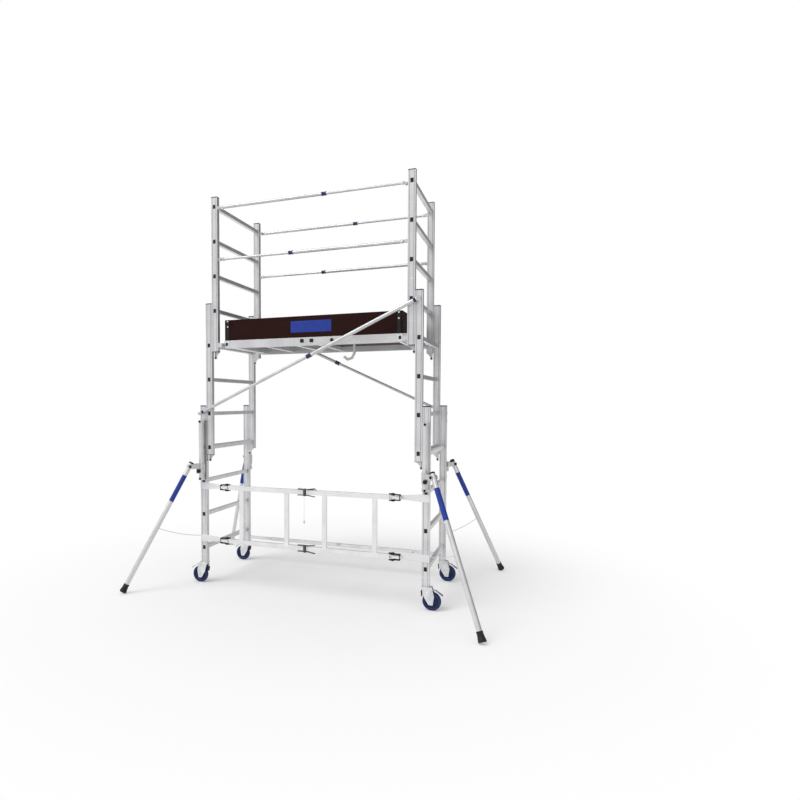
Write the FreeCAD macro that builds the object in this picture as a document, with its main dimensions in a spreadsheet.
import FreeCAD, Part
import os
import re

import Sketcher
from FreeCAD import Placement, Rotation, Vector

# A folding tower scaffold: three telescoping ladder frames on each side, a folding brace in front,
# a folding rail behind, a trapdoor platform, telescopic rails and diagonals, outriggers and castors.
# Millimetres. +X runs along the platform, +Y to the back, +Z up; the origin is on the floor, centred.

# Driving dimensions: name, value.
DIMENSIONS = {
    # end frames
    "rung_pitch": 280,
    "first_rung": 300,
    "rung_size": 30,
    "tube_wall": 2,
    "stile_wide": 56,
    "stile_deep": 34,
    "frame_half_depth": 394,
    "frame_step": 58,
    "base_x": 927.5,
    "base_bottom": 173,
    "base_top": 1479,
    "mid_bottom": 1081,
    "mid_top": 2317,
    "top_bottom": 1928,
    "top_top": 3174,
    "stem_radius": 11,
    "stem_length": 33,
    "socket_tall": 40,
    "fit_gap": 0.05,
    "latch_thick": 5,
    "latch_drop": 60,
    "peg_reach": 10,
    # folding brace and back rail
    "pin_x": 692,
    "brace_y": 424,
    "brace_low": 379,
    "brace_high": 818,
    "brace_tall": 36,
    "brace_thick": 22,
    "hinge_offset": 16,
    "hinge_radius": 5,
    "bracket_tall": 57,
    "inner_bar_x": 158,
    "outer_bar_x": 555,
    "bar_wide": 35,
    "back_rail_y": 375,
    "back_rail_z": 224,
    "back_rail_tall": 28,
    "knuckle_radius": 12,
    "ear_gap": 0.4,
    "ear_thick": 4,
    "clevis_reach": 26,
    "pin_head": 3,
    "tongue_half": 10,
    "back_tongue_half": 7,
    "bracket_thick": 4,
    "gusset_tip": 14,
    "lever_pin_x": 45,
    "lever_length": 135,
    "lever_pin_radius": 4,
    # platform
    "bar_x": 763,
    "bar_z": 1980,
    "bar_radius": 12,
    "eye_y": 342,
    "eye_thick": 8,
    "eye_wall": 6,
    "claw_gap": 0.8,
    "deck_top": 2018,
    "deck_thick": 15,
    "platform_half": 740,
    "platform_half_wide": 354,
    "side_rail_tall": 63,
    "side_rail_wide": 24,
    "board_thick": 12,
    "board_tall": 166,
    "board_gap": 1,
    "board_pin": 2.5,
    "beam_wide": 30,
    "beam_depth": 50,
    "hook_x": 377,
    "door_start": 60,
    "door_length": 600,
    "door_half_wide": 250,
    "door_gap": 2,
    "door_hinge_gap": 6,
    "door_knuckle": 5,
    "door_pin": 2.5,
    "leaf_long": 30,
    "leaf_wide": 40,
    "leaf_thick": 3,
    # telescopic guardrails
    "rail_x": 768,
    "top_rail_z": 3085,
    "mid_rail_z": 2678,
    "top_rail_y": 398,
    "mid_rail_y": 369,
    "rail_outer": 12.5,
    "rail_inner": 9.5,
    "rail_collar": 911,
    "peg_radius": 5,
    # telescopic diagonals
    "diagonal_x": 940,
    "diagonal_y": 430,
    "diagonal_z": 1420,
    "claw_x": 876,
    "claw_z": 2257,
    "diagonal_outer": 14.5,
    "diagonal_inner": 12,
    "diagonal_collar": 1072,
    # outriggers
    "guide_x": 927,
    "guide_y": 424,
    "guide_bottom": 870,
    "guide_top": 1365,
    "guide_radius": 22.5,
    "leg_pivot_out": 101,
    "leg_pivot_z": 985,
    "leg_tilt": 28.9,
    "leg_radius": 19,
    "leg_wall": 2.5,
    "foot_radius": 27,
    "clamp_tall": 22,
    "clamp_half": 18,
    "clamp_wall": 4,
    "sleeve_wall": 5,
    "sleeve_tall": 40,
    "sleeve_drop": 60,
    "yoke_half": 24,
    "yoke_drop": 19,
    "foot_tall": 60,
    # castors
    "wheel_radius": 68,
    "wheel_wide": 32,
    "wheel_offset": 45,
    "crown_in": 28,
    "crown_half": 24,
    "crown_drop": 14,
    "cheek_thick": 4,
    "cheek_y": 22,
    "hub_radius": 18,
    "web_half": 9,
    "axle_radius": 6,
    "pedal_pin_x": 10,
    "pedal_pin_z": 146,
}

# Where the platform's inner cross beams and the trapdoor's hinges start, along X and Y.
BEAM_STARTS = (-440, -170, 20, 680)
HINGE_STARTS = (-100, 60)
# Each door leaf stands 1 mm clear of the deck leaf beside it.
DOOR_LEAF_STARTS = (-141, -59, 19, 101)

doc = FreeCAD.newDocument("tower")
sheet = doc.addObject("Spreadsheet::Sheet", "Sizes")
for row, (alias, number) in enumerate(DIMENSIONS.items(), start=1):
    sheet.set(f"A{row}", alias)
    sheet.set(f"B{row}", str(number))
    sheet.setAlias(f"B{row}", alias)
doc.recompute()

nodes = []


def sized(size):
    """An expression with each dimension's name pointing at the sheet."""
    return re.sub(r"[a-z][a-z_]+", lambda m: f"Sizes.{m[0]}" if m[0] in DIMENSIONS else m[0], str(size))


def node(thing, label):
    """Give a finished sub-part its name and list it for export."""
    thing.Label = label
    nodes.append(thing)
    return thing


def move(thing, x=0, y=0, z=0):
    for axis, place in zip("xyz", (x, y, z)):
        thing.setExpression(f"Placement.Base.{axis}", sized(place))
    return thing


def turn(thing, axis, angle):
    """Turn a sub-part about an axis through its own origin, by an angle that may be an expression."""
    thing.Placement = Placement(thing.Placement.Base, Rotation(Vector(*axis), 1))
    thing.setExpression("Placement.Rotation.Angle", sized(angle))
    return thing


def block(low, high):
    """A box between two corners, each an (x, y, z) of expressions."""
    box = doc.addObject("Part::Box", "block")
    for side, a, b in zip(("Length", "Width", "Height"), low, high):
        box.setExpression(side, f"({sized(b)}) - ({sized(a)})")
    return move(box, *low)


def rod(start, axis, length, radius):
    """A round bar from a start point along +X, +Y or +Z."""
    bar = doc.addObject("Part::Cylinder", "rod")
    bar.setExpression("Radius", sized(radius))
    bar.setExpression("Height", sized(length))
    turns = {"x": Rotation(Vector(0, 1, 0), 90), "y": Rotation(Vector(1, 0, 0), -90), "z": Rotation()}
    bar.Placement = Placement(Vector(), turns[axis])
    return move(bar, *start)


def fuse(*shapes):
    joined = doc.addObject("Part::MultiFuse", "welded")
    joined.Shapes = list(shapes)
    return joined


def cut(base, *tools):
    trimmed = doc.addObject("Part::Cut", "trimmed")
    trimmed.Base = base
    trimmed.Tool = tools[0] if len(tools) == 1 else fuse(*tools)
    return trimmed


def group(*shapes):
    """Separate solids kept together."""
    together = doc.addObject("Part::Compound", "group")
    together.Links = list(shapes)
    return together


def mirrored(source, normal):
    copy = doc.addObject("Part::Mirroring", "mirrored")
    copy.Source = source
    copy.Normal = Vector(*normal)
    return copy


def across(source):
    """The same piece on the other side, left to right."""
    return mirrored(source, (1, 0, 0))


def behind(source):
    """The same piece at the back."""
    return mirrored(source, (0, 1, 0))


def turned(source):
    """The same piece at the opposite corner."""
    return turn(group(source), (0, 0, 1), 180)


def round_tube(start, axis, length, radius, bore):
    return cut(rod(start, axis, length, radius), rod(start, axis, length, bore))


def square_tube(low, high, wall=("tube_wall", 0, "tube_wall")):
    """A box tube, with the wall that each axis leaves; an axis with no wall is open at both ends."""
    inner_low = tuple(f"({a}) + ({w})" for a, w in zip(low, wall))
    inner_high = tuple(f"({a}) - ({w})" for a, w in zip(high, wall))
    return cut(block(low, high), block(inner_low, inner_high))


# Sketched pieces

def outline(body, plane, points):
    """A closed outline on one of the body's own planes, with each corner placed by the sheet."""
    sketch = body.newObject("Sketcher::SketchObject", "outline")
    face = next(f for f in body.Origin.OriginFeatures if f.Role == plane)
    sketch.AttachmentSupport = (face, [""])
    sketch.MapMode = "FlatFace"
    count = len(points)
    starts = [Rotation(Vector(0, 0, 1), 360 * i / count).multVec(Vector(50, 0, 0)) for i in range(count)]
    for i in range(count):
        sketch.addGeometry(Part.LineSegment(starts[i], starts[(i + 1) % count]), False)
    for i in range(count):
        sketch.addConstraint(Sketcher.Constraint("Coincident", i, 2, (i + 1) % count, 1))
    for i, (sideways, up) in enumerate(points):
        for kind, size, now in (("DistanceX", sideways, starts[i].x), ("DistanceY", up, starts[i].y)):
            number = sketch.addConstraint(Sketcher.Constraint(kind, -1, 1, i, 1, now))
            sketch.setExpression(f"Constraints[{number}]", sized(size))
    return sketch


def padded(plane, points, depth):
    """A plate: an outline given a thickness, centred on its plane."""
    body = doc.addObject("PartDesign::Body", "plate")
    pad = body.newObject("PartDesign::Pad", "pad")
    pad.Profile = outline(body, plane, points)
    pad.Midplane = True
    pad.setExpression("Length", sized(depth))
    return body


def revolved(points):
    """A turned piece: an outline in the XZ plane, spun about the Z axis."""
    body = doc.addObject("PartDesign::Body", "turned_piece")
    spin = body.newObject("PartDesign::Revolution", "spin")
    sketch = outline(body, "XZ_Plane", points)
    spin.Profile = sketch
    spin.ReferenceAxis = (sketch, ["V_Axis"])
    spin.Angle = 360
    return body


# End frames

def stile(x, bottom, top):
    """One front stile, a box tube with the wide side in front."""
    low = (f"{x} - stile_wide/2", "-frame_half_depth", bottom)
    high = (f"{x} + stile_wide/2", "stile_deep - frame_half_depth", top)
    return square_tube(low, high, ("tube_wall", "tube_wall", 0))


def rungs(x, first, count):
    """Square rungs between the stiles' inner faces."""
    tubes = []
    for step in range(first, first + count):
        level = f"first_rung + {step}*rung_pitch"
        low = (f"{x} - rung_size/2", "stile_deep - frame_half_depth", f"{level} - rung_size/2")
        high = (f"{x} + rung_size/2", "frame_half_depth - stile_deep", f"{level} + rung_size/2")
        tubes.append(square_tube(low, high))
    return group(*tubes)


def castor_socket():
    """The solid plug in a base stile's foot, bored for the castor's stem."""
    x = "-base_x"
    low = (f"{x} - stile_wide/2 + tube_wall", "tube_wall - frame_half_depth", "base_bottom")
    high = (f"{x} + stile_wide/2 - tube_wall", "stile_deep - tube_wall - frame_half_depth",
            "base_bottom + socket_tall")
    centre = (x, "stile_deep/2 - frame_half_depth", "base_bottom")
    return cut(block(low, high), rod(centre, "z", "stem_length + 2", "stem_radius + fit_gap"))


def base_frames():
    front = fuse(stile("-base_x", "base_bottom", "base_top"), castor_socket())
    pivot_pin = rod(("-diagonal_x", "-diagonal_y - peg_reach", "diagonal_z"), "y",
                    "diagonal_y + peg_reach - frame_half_depth", "axle_radius")
    left = node(group(fuse(front, pivot_pin), behind(front)), "base_left_stiles")
    node(turned(left), "base_right_stiles")
    left_rungs = node(rungs("-base_x", 0, 4), "base_left_rungs")
    node(across(left_rungs), "base_right_rungs")


def mid_frames():
    x = "-base_x + frame_step"
    front = fuse(stile(x, "mid_bottom", "mid_top"), latch_plate(x, "mid_bottom"))
    back = behind(front)
    peg = rod(("-claw_x", "frame_half_depth", "claw_z"), "y",
              "diagonal_y + peg_reach - frame_half_depth", "axle_radius")
    left = node(group(front, fuse(back, peg)), "mid_left_stiles")
    node(turned(left), "mid_right_stiles")
    left_rungs = node(rungs(x, 3, 4), "mid_left_rungs")
    node(across(left_rungs), "mid_right_rungs")


def latch_plate(x, bottom):
    """The dog-leg plate under a sliding frame's stile: wide on the stile, narrow on the tube outside it."""
    outline_points = [("-24", "-latch_drop"), ("-8", "-latch_drop"), ("-4", "-30"),
                      ("24", "-4"), ("24", "40"), ("-24", "40")]
    plate = padded("XZ_Plane", outline_points, "latch_thick")
    return move(plate, x, "stile_deep - frame_half_depth + latch_thick/2", bottom)


def rail_ear(y, level, inward):
    """The ear on a top stile that carries a guardrail's pin; inward says which way the pin points."""
    face = "-(base_x - 2*frame_step - stile_wide/2)"
    if inward:
        ear = block((face, f"-{y} - 14", f"{level} - 12"), ("-rail_x + 8", f"-{y} - 7", f"{level} + 12"))
        pin = rod(("-rail_x", f"-{y} - 7", level), "y", "15", "peg_radius")
    else:
        ear = block((face, f"-{y} + 14", f"{level} - 12"), ("-rail_x + 8", f"-{y} + 24", f"{level} + 12"))
        pin = rod(("-rail_x", f"-{y} - 8", level), "y", "22", "peg_radius")
    return fuse(ear, pin)


def top_frames():
    x = "-base_x + 2*frame_step"
    face = "-(base_x - 2*frame_step - stile_wide/2)"
    bar_ear = block((face, "-frame_half_depth + 2", "bar_z - 16"),
                    ("-bar_x + 14", "stile_deep - frame_half_depth - 2", "bar_z + 16"))
    front = fuse(stile(x, "top_bottom", "top_top"), latch_plate(x, "top_bottom"), bar_ear,
                 rail_ear("top_rail_y", "top_rail_z", False), rail_ear("mid_rail_y", "mid_rail_z", True))
    reach = "frame_half_depth - stile_deep + 2"
    bar = rod(("-bar_x", f"-({reach})", "bar_z"), "y", f"2*({reach})", "bar_radius")
    left = node(fuse(front, behind(front), bar), "top_left_stiles")
    node(across(left), "top_right_stiles")
    left_rungs = node(rungs(x, 7, 4), "top_left_rungs")
    node(across(left_rungs), "top_right_rungs")


# Folding brace and back rail

def brace_bracket(level):
    """A tapered plate across a base stile, with a bored tongue for the brace's end pin."""
    outer, inner, tip_x = "-base_x - stile_wide/2", "-base_x + stile_wide/2", "-pin_x - 50"
    gusset = [(outer, "-bracket_tall/2"), (inner, "-bracket_tall/2"), (tip_x, "-gusset_tip"),
              (tip_x, "gusset_tip"), (inner, "bracket_tall/2"), (outer, "bracket_tall/2")]
    plate = move(padded("XZ_Plane", gusset, "bracket_thick"), 0, "-frame_half_depth - 3", level)
    pad = block(("-base_x - stile_wide/2", "-frame_half_depth - 2", f"{level} - bracket_tall/2"),
                ("-base_x + stile_wide/2", "-frame_half_depth", f"{level} + bracket_tall/2"))
    arm = block(("-pin_x - 60", "-brace_y - knuckle_radius", f"{level} - tongue_half"),
                ("-pin_x - 20", "-frame_half_depth - 4", f"{level} + tongue_half"))
    tongue = block(("-pin_x - 25", "-brace_y - knuckle_radius", f"{level} - tongue_half"),
                   ("-pin_x", "-brace_y + knuckle_radius", f"{level} + tongue_half"))
    tip = rod(("-pin_x", "-brace_y", f"{level} - tongue_half"), "z", "2*tongue_half", "knuckle_radius")
    bore = rod(("-pin_x", "-brace_y", f"{level} - 20"), "z", "40", "hinge_radius + fit_gap")
    return cut(fuse(plate, pad, arm, tongue, tip), bore)


def back_bracket():
    """An arm on a base stile's inner face, with a bored tongue for the back rail's end pin."""
    level = "back_rail_z"
    arm = block(("-base_x + stile_wide/2", "back_rail_y - 5", f"{level} - back_rail_tall/2"),
                ("-pin_x - 20", "back_rail_y + 5", f"{level} + back_rail_tall/2"))
    tongue = block(("-pin_x - 25", "back_rail_y - knuckle_radius", f"{level} - back_tongue_half"),
                   ("-pin_x", "back_rail_y + knuckle_radius", f"{level} + back_tongue_half"))
    tip = rod(("-pin_x", "back_rail_y", f"{level} - back_tongue_half"), "z",
              "2*back_tongue_half", "knuckle_radius")
    bore = rod(("-pin_x", "back_rail_y", f"{level} - 20"), "z", "40", "hinge_radius + fit_gap")
    return cut(fuse(arm, tongue, tip), bore)


def clevis(x, y, level, rail_from, half):
    """Two ears above and below a tongue, with the pin that they hold."""
    ears = []
    for below in (f"{level} - {half} - ear_gap - ear_thick", f"{level} + {half} + ear_gap"):
        ears.append(rod((x, y, below), "z", "ear_thick", "knuckle_radius"))
        ears.append(block((x, f"{y} - knuckle_radius", below),
                          (rail_from, f"{y} + knuckle_radius", f"{below} + ear_thick")))
    pin = rod((x, y, f"{level} - {half} - ear_thick - pin_head"), "z",
              f"2*({half} + ear_thick + pin_head)", "hinge_radius")
    return fuse(*ears, pin)


def brace_rail(level, y, tall, thick):
    """One rail of the left half, from its end clevis to the centre hinge."""
    low = ("-pin_x + 22", f"{y} - {thick}/2", f"{level} - {tall}/2")
    high = ("-hinge_offset", f"{y} + {thick}/2", f"{level} + {tall}/2")
    return square_tube(low, high, (0, "tube_wall", "tube_wall"))


def centre_tongue(level, y, side):
    """The left half's bored knuckle; it stands off the rail on the side that folds together."""
    centre_y = f"{y} + {side}*hinge_offset"
    knuckle = rod((0, centre_y, f"{level} - 8"), "z", "16", "knuckle_radius")
    near, far = (centre_y, y) if side < 0 else (y, centre_y)
    web = block((-34, near, f"{level} - 8"), (0, far, f"{level} + 8"))
    bore = rod((0, centre_y, f"{level} - 20"), "z", "40", "hinge_radius + fit_gap")
    return cut(fuse(knuckle, web), bore)


def centre_clevis(level, y, side):
    """The right half's pair of knuckles, with the centre pin."""
    centre_y = f"{y} + {side}*hinge_offset"
    near, far = (centre_y, y) if side < 0 else (y, centre_y)
    parts = []
    knuckle_thick = "(5 - ear_gap)"
    for below in (f"{level} - 13", f"{level} + 8 + ear_gap"):
        parts.append(rod((0, centre_y, below), "z", knuckle_thick, "knuckle_radius"))
        parts.append(block((0, near, below), (34, far, f"{below} + {knuckle_thick}")))
    parts.append(rod((0, centre_y, f"{level} - 16"), "z", "32", "hinge_radius"))
    return fuse(*parts)


def front_brace():
    low_y = "-brace_y"
    rails = [brace_rail(level, low_y, "brace_tall", "brace_thick") for level in ("brace_low", "brace_high")]
    ends = []
    for level in ("brace_low", "brace_high"):
        ends.append(clevis("-pin_x", low_y, level, "-pin_x + clevis_reach", "tongue_half"))
    bars = []
    for x in ("-inner_bar_x", "-outer_bar_x"):
        bars.append(square_tube((f"{x} - bar_wide/2", "-brace_y - 10", "brace_low + brace_tall/2"),
                                (f"{x} + bar_wide/2", "-brace_y + 10", "brace_high - brace_tall/2"),
                                ("tube_wall", "tube_wall", 0)))
    tongues = [centre_tongue(level, low_y, -1) for level in ("brace_low", "brace_high")]
    lever_pin = rod(("-lever_pin_x", "-brace_y", "brace_high + brace_tall/2"), "z", "14", "lever_pin_radius")
    node(fuse(*rails, *ends, *bars, *tongues, lever_pin), "brace_left")
    plain = across(fuse(*rails, *ends, *bars))
    clevises = [centre_clevis(level, low_y, -1) for level in ("brace_low", "brace_high")]
    node(fuse(plain, *clevises), "brace_right")


def lock_lever():
    """A flat lever on top of the upper rail that lies over the centre hinge."""
    top = "brace_high + brace_tall/2"
    bar = padded("XY_Plane", [("-17", "-8"), ("lever_length - 10", "-8"), ("lever_length", "-3"),
                              ("lever_length", "6"), ("-17", "8")], "5")
    move(bar, "-lever_pin_x", "-brace_y", f"{top} + 4")
    bore = rod(("-lever_pin_x", "-brace_y", f"{top} - 5"), "z", "30", "lever_pin_radius + fit_gap")
    node(cut(bar, bore), "brace_lock_lever")


def back_rails():
    rail = brace_rail("back_rail_z", "back_rail_y", "back_rail_tall", "20")
    end = clevis("-pin_x", "back_rail_y", "back_rail_z", "-pin_x + clevis_reach", "back_tongue_half")
    node(fuse(rail, end, centre_tongue("back_rail_z", "back_rail_y", 1)), "back_rail_left")
    node(fuse(across(fuse(rail, end)), centre_clevis("back_rail_z", "back_rail_y", 1)), "back_rail_right")


# Platform

def hinge_eye():
    """The left end's eye, which turns on the left support bar, on a plug that closes the side rail."""
    near, far = "-eye_y - eye_thick/2", "eye_thick/2 - eye_y"
    ring = rod(("-bar_x", near, "bar_z"), "y", "eye_thick", "bar_radius + eye_wall")
    arm = block(("-bar_x", near, "bar_z - 14"), ("-platform_half + 10", far, "bar_z + 18"))
    plug = block(("-platform_half", "-platform_half_wide", "deck_top - side_rail_tall"),
                 ("board_thick - platform_half", "side_rail_wide - platform_half_wide", "deck_top"))
    bore = rod(("-bar_x", f"{near} - 4", "bar_z"), "y", "eye_thick + 8", "bar_radius + fit_gap")
    return cut(fuse(ring, arm, plug), bore)


def claw_plate():
    """The right end's hook, open at the bottom, which drops over the right support bar."""
    near, far = "-eye_y - eye_thick/2", "eye_thick/2 - eye_y"
    plate = block(("platform_half - 20", near, "bar_z - 16"),
                  ("bar_x + bar_radius + eye_wall", far, "deck_top"))
    hollow = rod(("bar_x", f"{near} - 4", "bar_z"), "y", "eye_thick + 8", "bar_radius + claw_gap")
    mouth = block(("bar_x - bar_radius - claw_gap", f"{near} - 4", "bar_z - 30"),
                  ("bar_x + bar_radius + claw_gap", f"{far} + 4", "bar_z"))
    return cut(plate, hollow, mouth)


def platform_frame():
    low_z = "deck_top - side_rail_tall"
    rail = square_tube(("-platform_half", "-platform_half_wide", low_z),
                       ("platform_half", "side_rail_wide - platform_half_wide", "deck_top"),
                       (0, "tube_wall", "tube_wall"))
    side = fuse(rail, hinge_eye(), claw_plate())
    reach = "platform_half_wide - side_rail_wide"
    end = block(("-platform_half", f"-({reach})", "deck_top - beam_depth"),
                ("board_thick - platform_half", reach, "deck_top"))
    beams = []
    for x in ("board_thick - platform_half", *BEAM_STARTS):
        beams.append(block((x, f"-({reach})", "deck_top - beam_depth"),
                           (f"{x} + beam_wide", reach, "deck_top - deck_thick")))
    node(fuse(side, behind(side), end, across(end), *beams), "platform_frame")


def door_leaf(y, way):
    """One leaf and its knuckle at the trapdoor's hinge; way is -1 on the deck and 1 on the door."""
    start = "door_start - leaf_long" if way < 0 else "door_start"
    end = f"{start} + leaf_long"
    knuckle = rod(("door_start", y, "deck_top + door_knuckle"), "y", "leaf_wide", "door_knuckle")
    plate = block((start, y, "deck_top"), (end, f"{y} + leaf_wide", "deck_top + leaf_thick"))
    return fuse(knuckle, plate)


def deck():
    reach = "platform_half_wide - side_rail_wide"
    board = block(("board_thick - platform_half", f"-({reach})", "deck_top - deck_thick"),
                  ("platform_half - board_thick", reach, "deck_top"))
    opening = block(("door_start - door_hinge_gap", "-door_half_wide - door_gap", "deck_top - 30"),
                    ("door_start + door_length + door_gap", "door_half_wide + door_gap", "deck_top + 10"))
    hinges = []
    for y in HINGE_STARTS:
        hinges.append(door_leaf(y, -1))
        hinges.append(rod(("door_start", f"{y} - leaf_wide - 2", "deck_top + door_knuckle"), "y",
                          "2*leaf_wide + 4", "door_pin"))
    node(fuse(cut(board, opening), *hinges), "platform_deck")
    panel = block(("door_start", "-door_half_wide", "deck_top - deck_thick"),
                  ("door_start + door_length", "door_half_wide", "deck_top"))
    leaves, bores = [], []
    for y in DOOR_LEAF_STARTS:
        leaves.append(door_leaf(y, 1))
        bores.append(rod(("door_start", f"{y} - 1", "deck_top + door_knuckle"), "y", "leaf_wide + 2",
                         "door_pin + fit_gap"))
    node(cut(fuse(panel, *leaves), *bores), "trapdoor")


def toe_boards():
    """Each long board is rounded at the foot, where it turns on pins that stand in from the end boards."""
    foot = "deck_top + board_gap"
    axis_y = "board_thick/2 - platform_half_wide"
    axis_z = "deck_top + board_gap + board_thick/2"
    start = "board_thick + board_gap - platform_half"
    length = "2*(platform_half - board_thick - board_gap)"
    board = block((start, "-platform_half_wide", axis_z),
                  (f"-({start})", "board_thick - platform_half_wide", f"{foot} + board_tall"))
    barrel = rod((start, axis_y, axis_z), "x", length, "board_thick/2")
    bore = rod((f"{start} - 1", axis_y, axis_z), "x", "16", "board_pin + fit_gap")
    front = cut(fuse(board, barrel), bore, across(bore))
    node(front, "toe_board_front")
    node(behind(front), "toe_board_back")
    end = block(("-platform_half", "-platform_half_wide", "deck_top"),
                ("board_thick - platform_half", "platform_half_wide", f"{foot} + board_tall"))
    pin = rod(("board_thick - platform_half", axis_y, axis_z), "x", "12", "board_pin")
    left = fuse(end, pin, behind(pin))
    node(group(left, across(left)), "toe_boards_end")


def storage_hook():
    """The J hook that hangs under the front side rail."""
    plate = [("0", "0"), ("0", "-74"), ("-22", "-114"), ("-64", "-127"), ("-98", "-101"),
             ("-83", "-87"), ("-60", "-107"), ("-34", "-98"), ("-18", "-70"), ("-18", "0")]
    hook = padded("XZ_Plane", plate, "10")
    move(hook, "hook_x", "side_rail_wide/2 - platform_half_wide", "deck_top - side_rail_tall")
    node(hook, "storage_hook")


# Telescopic rails; each is drawn along +X from its pivot, then placed

def rail_outer_tube():
    tube = round_tube((20, 0, 0), "x", "rail_collar + 12 - 20", "rail_outer", "rail_inner + 0.5")
    collar = round_tube(("rail_collar - 18", 0, 0), "x", "36", "rail_outer + 1.5", "rail_inner + 0.5")
    eye = cut(fuse(rod((0, -6, 0), "y", "12", "knuckle_radius"), block((0, -6, -10), (24, 6, 10))),
              rod((0, -8, 0), "y", "16", "peg_radius + fit_gap"))
    return fuse(tube, collar, eye)


def rail_inner_tube():
    """The sliding tube; its claw cradles the far peg and lets it out upwards."""
    span = "2*rail_x"
    tube = round_tube(("rail_collar - 50", 0, 0), "x", f"{span} + 40 - rail_collar",
                      "rail_inner", "rail_inner - tube_wall")
    cup = fuse(rod((span, -6, 0), "y", "12", "knuckle_radius"), block((f"{span} - 20", -6, -9), (span, 6, 9)))
    hollow = rod((span, -8, 0), "y", "16", "peg_radius + ear_gap")
    mouth = block((f"{span} - peg_radius - ear_gap", -8, 0), (f"{span} + 14", 8, 14))
    return fuse(tube, cut(cup, hollow, mouth))


def rail_pair(drawn, side, y, level):
    """A front and a back rail, pivoting on the left (-1) or the right (1) frame."""
    front = group(drawn)
    if side > 0:
        turn(front, (0, 0, 1), 180)
    move(front, f"{side}*rail_x", f"-{y}", level)
    return group(front, behind(front))


def guardrails():
    outer, inner = rail_outer_tube(), rail_inner_tube()
    node(rail_pair(outer, -1, "top_rail_y", "top_rail_z"), "top_rail_outer")
    node(rail_pair(inner, -1, "top_rail_y", "top_rail_z"), "top_rail_inner")
    node(rail_pair(outer, 1, "mid_rail_y", "mid_rail_z"), "mid_rail_outer")
    node(rail_pair(inner, 1, "mid_rail_y", "mid_rail_z"), "mid_rail_inner")


def diagonals():
    """Each diagonal pivots on a base stile and hooks over a peg on the opposite mid frame."""
    run = "(claw_x + diagonal_x)"
    rise = "(claw_z - diagonal_z)"
    length = f"sqrt({run}^2 + {rise}^2)"
    slim = round_tube((16, 0, 0), "x", "diagonal_collar + 50 - 16",
                      "diagonal_inner", "diagonal_inner - tube_wall")
    eye = cut(fuse(rod((0, -7, 0), "y", "14", "13"), block((0, -7, -9), (22, 7, 9))),
              rod((0, -9, 0), "y", "18", "axle_radius + fit_gap"))
    thick = round_tube(("diagonal_collar - 10", 0, 0), "x", f"{length} - 6 - diagonal_collar",
                       "diagonal_outer", "diagonal_inner + 0.6")
    collar = round_tube(("diagonal_collar - 22", 0, 0), "x", "40",
                        "diagonal_outer + 2", "diagonal_inner + 0.6")
    claw = cut(fuse(rod((length, -7, 0), "y", "14", "15"), block((f"{length} - 30", -7, -9), (length, 7, 9))),
               rod((length, -9, 0), "y", "18", "axle_radius + ear_gap"),
               block((f"{length} - 16", -9, -20), (f"{length} + 20", 9, 0)))
    for drawn, label in ((fuse(slim, eye), "inner"), (fuse(thick, collar, claw), "outer")):
        front = turn(group(drawn), (0, -1, 0), f"atan({rise}/{run})")
        node(move(front, "-diagonal_x", "-diagonal_y", "diagonal_z"), f"front_diagonal_{label}")
        node(turned(front), f"back_diagonal_{label}")


# Outriggers; each is drawn about its guide tube, reaching out along +X, then set at its corner

def set_at_corner(drawn):
    corner = turn(group(drawn), (0, 0, 1), 225)
    return move(corner, "-guide_x", "-guide_y", 0)


def four_corners(front_left, label):
    node(front_left, f"{label}_front_left")
    node(across(front_left), f"{label}_front_right")
    node(behind(front_left), f"{label}_back_left")
    node(turned(front_left), f"{label}_back_right")


def guide_tubes():
    tube = round_tube(("-guide_x", "-guide_y", "guide_bottom"), "z", "guide_top - guide_bottom",
                      "guide_radius", "guide_radius - tube_wall")
    clamps = []
    for low in ("guide_bottom", "guide_top - clamp_tall"):
        clamps.append(rod(("-guide_x", "-guide_y", low), "z", "clamp_tall", "guide_radius + clamp_wall"))
        clamps.append(block(("-guide_x - clamp_half", "-guide_y", low),
                            ("-guide_x + clamp_half", "-frame_half_depth", f"{low} + clamp_tall")))
    front = fuse(tube, *clamps)
    left = node(group(front, behind(front)), "base_left_guide_tubes")
    node(across(left), "base_right_guide_tubes")


def outrigger_sleeve():
    """The clamp collar that slides on the guide tube, with its knob."""
    level = "leg_pivot_z - sleeve_drop"
    collar = rod((0, 0, level), "z", "sleeve_tall", "guide_radius + sleeve_wall")
    lug = block(("guide_radius - 2", -9, level), ("guide_radius + 22", 9, f"{level} + sleeve_tall"))
    knob = rod(("guide_radius + 12", 9, f"{level} + sleeve_tall/2"), "y", "26", "9")
    bore = rod((0, 0, f"{level} - 1"), "z", "sleeve_tall + 2", "guide_radius + fit_gap")
    return cut(fuse(collar, lug, knob), bore)


def outrigger_yoke():
    """The ring that turns on the guide tube above the sleeve, with cheeks that carry the leg's pin."""
    level = "leg_pivot_z - yoke_drop"
    ring = rod((0, 0, level), "z", "sleeve_tall", "guide_radius + sleeve_wall")
    web = block(("guide_radius", "-yoke_half", level),
                ("guide_radius + 24", "yoke_half", f"{level} + sleeve_tall"))
    cheeks = []
    for low, high in (("-yoke_half", "-leg_radius - 0.5"), ("leg_radius + 0.5", "yoke_half")):
        cheeks.append(block(("guide_radius + 20", low, level),
                            ("leg_pivot_out", high, f"{level} + 2*yoke_drop")))
        cheeks.append(rod(("leg_pivot_out", low, "leg_pivot_z"), "y", f"({high}) - ({low})", "yoke_drop"))
    bore = rod((0, 0, f"{level} - 1"), "z", "sleeve_tall + 2", "guide_radius + fit_gap")
    pin = rod(("leg_pivot_out", "-yoke_half - 4", "leg_pivot_z"), "y", "2*yoke_half + 8", "axle_radius")
    return fuse(cut(fuse(ring, web, *cheeks), bore), pin)


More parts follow.
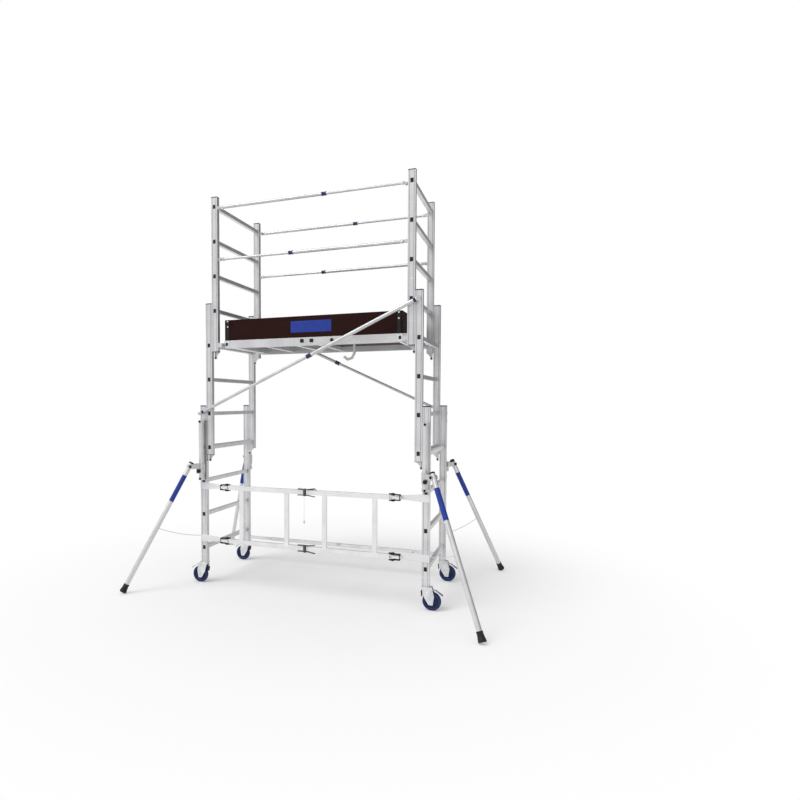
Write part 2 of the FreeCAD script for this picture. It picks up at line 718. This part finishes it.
def outrigger_leg():
    """A straight tube on a bell-shaped foot, drawn hanging from its pivot and then tilted outwards."""
    reach = "((leg_pivot_z - foot_radius*sin(leg_tilt))/cos(leg_tilt))"
    tube = round_tube((0, 0, f"30 - {reach}"), "z", f"{reach} + 8", "leg_radius", "leg_radius - leg_wall")
    bore = rod((0, -30, 0), "y", "60", "axle_radius + fit_gap")
    foot = revolved([("0", "0"), ("foot_radius", "0"), ("foot_radius", "10"), ("leg_radius + 4", "26"),
                     ("leg_radius + 4", "58"), ("leg_radius - 1", "foot_tall"), ("0", "foot_tall")])
    move(foot, 0, 0, f"-{reach}")
    leg = turn(cut(fuse(tube, foot), bore), (0, -1, 0), "leg_tilt")
    return move(leg, "leg_pivot_out", 0, "leg_pivot_z")


# Castors; the swivel axis is the base stile's centre line, and each wheel trails outwards

def castor_fork():
    axis_y = "stile_deep/2 - frame_half_depth"
    stem = rod(("-base_x", axis_y, "base_bottom - 8"), "z", "stem_length + 8", "stem_radius")
    crown = block(("-base_x - wheel_offset", f"{axis_y} - crown_half", "base_bottom - crown_drop"),
                  ("-base_x + crown_in", f"{axis_y} + crown_half", "base_bottom - 1"))
    side = [("-crown_in", "0"), ("48", "0"), ("wheel_offset + 20", "wheel_radius + 44 - base_bottom"),
            ("wheel_offset + 10", "wheel_radius - 22 - base_bottom"),
            ("wheel_offset - 20", "wheel_radius - 22 - base_bottom"),
            ("wheel_offset - 50", "wheel_radius + 26 - base_bottom")]
    cheeks = []
    for sign in (-1, 1):
        cheek = padded("XZ_Plane", [(f"-({x})", z) for x, z in side], "cheek_thick")
        cheeks.append(move(cheek, "-base_x", f"{axis_y} + {sign}*cheek_y", "base_bottom - cheek_thick"))
    axle = rod(("-base_x - wheel_offset", f"{axis_y} - 27", "wheel_radius"), "y", "54", "axle_radius")
    return fuse(stem, crown, *cheeks, axle)


def castor_wheel():
    half = "wheel_wide/2"
    tyre = revolved([("axle_radius + fit_gap", f"-{half}"), ("hub_radius", f"-{half}"),
                     ("hub_radius + 2", "-web_half"), ("48", "-web_half"),
                     ("50", "3 - wheel_wide/2"), ("wheel_radius - 6", "-wheel_wide/2"),
                     ("wheel_radius", "5 - wheel_wide/2"), ("wheel_radius", "wheel_wide/2 - 5"),
                     ("wheel_radius - 6", half), ("50", "wheel_wide/2 - 3"),
                     ("48", "web_half"), ("hub_radius + 2", "web_half"),
                     ("hub_radius", half), ("axle_radius + fit_gap", half)])
    turn(tyre, (1, 0, 0), 90)
    return move(tyre, "-base_x - wheel_offset", "stile_deep/2 - frame_half_depth", "wheel_radius")


def castor_pedal():
    """The brake pedal, a bent plate on a pin across the fork, which reaches out over the wheel."""
    axis_y = "stile_deep/2 - frame_half_depth"
    blade = padded("XZ_Plane", [("6", "-4"), ("6", "4"), ("-35", "5"), ("-64", "4"), ("-116", "-32"),
                                ("-114", "-36"), ("-62", "0"), ("-35", "1")], "30")
    pin = rod((0, -19, 0), "y", "38", "3")
    pedal = group(fuse(blade, pin))
    return move(pedal, "-base_x - pedal_pin_x", axis_y, "pedal_pin_z")


base_frames()
mid_frames()
top_frames()
left_brackets = node(group(brace_bracket("brace_low"), brace_bracket("brace_high"), back_bracket()),
                     "base_left_brackets")
node(across(left_brackets), "base_right_brackets")
front_brace()
lock_lever()
back_rails()
platform_frame()
deck()
toe_boards()
storage_hook()
guardrails()
diagonals()
guide_tubes()
four_corners(set_at_corner(outrigger_sleeve()), "outrigger_sleeve")
four_corners(set_at_corner(outrigger_yoke()), "outrigger_yoke")
four_corners(set_at_corner(outrigger_leg()), "outrigger_leg")
four_corners(castor_fork(), "castor_fork")
four_corners(castor_wheel(), "castor_wheel")
four_corners(castor_pedal(), "castor_pedal")

doc.recompute()
for thing in doc.Objects:
    if "Invalid" in thing.State or "Error" in thing.State:
        raise RuntimeError(f"{thing.Label} failed: {thing.State}")
for thing in nodes:
    if thing.Shape.isNull() or not thing.Shape.isValid() or not thing.Shape.Solids:
        raise RuntimeError(f"{thing.Label} has no valid solid")

os.makedirs("parts", exist_ok=True)
for thing in nodes:
    thing.Shape.exportStep(f"parts/{thing.Label}.step")
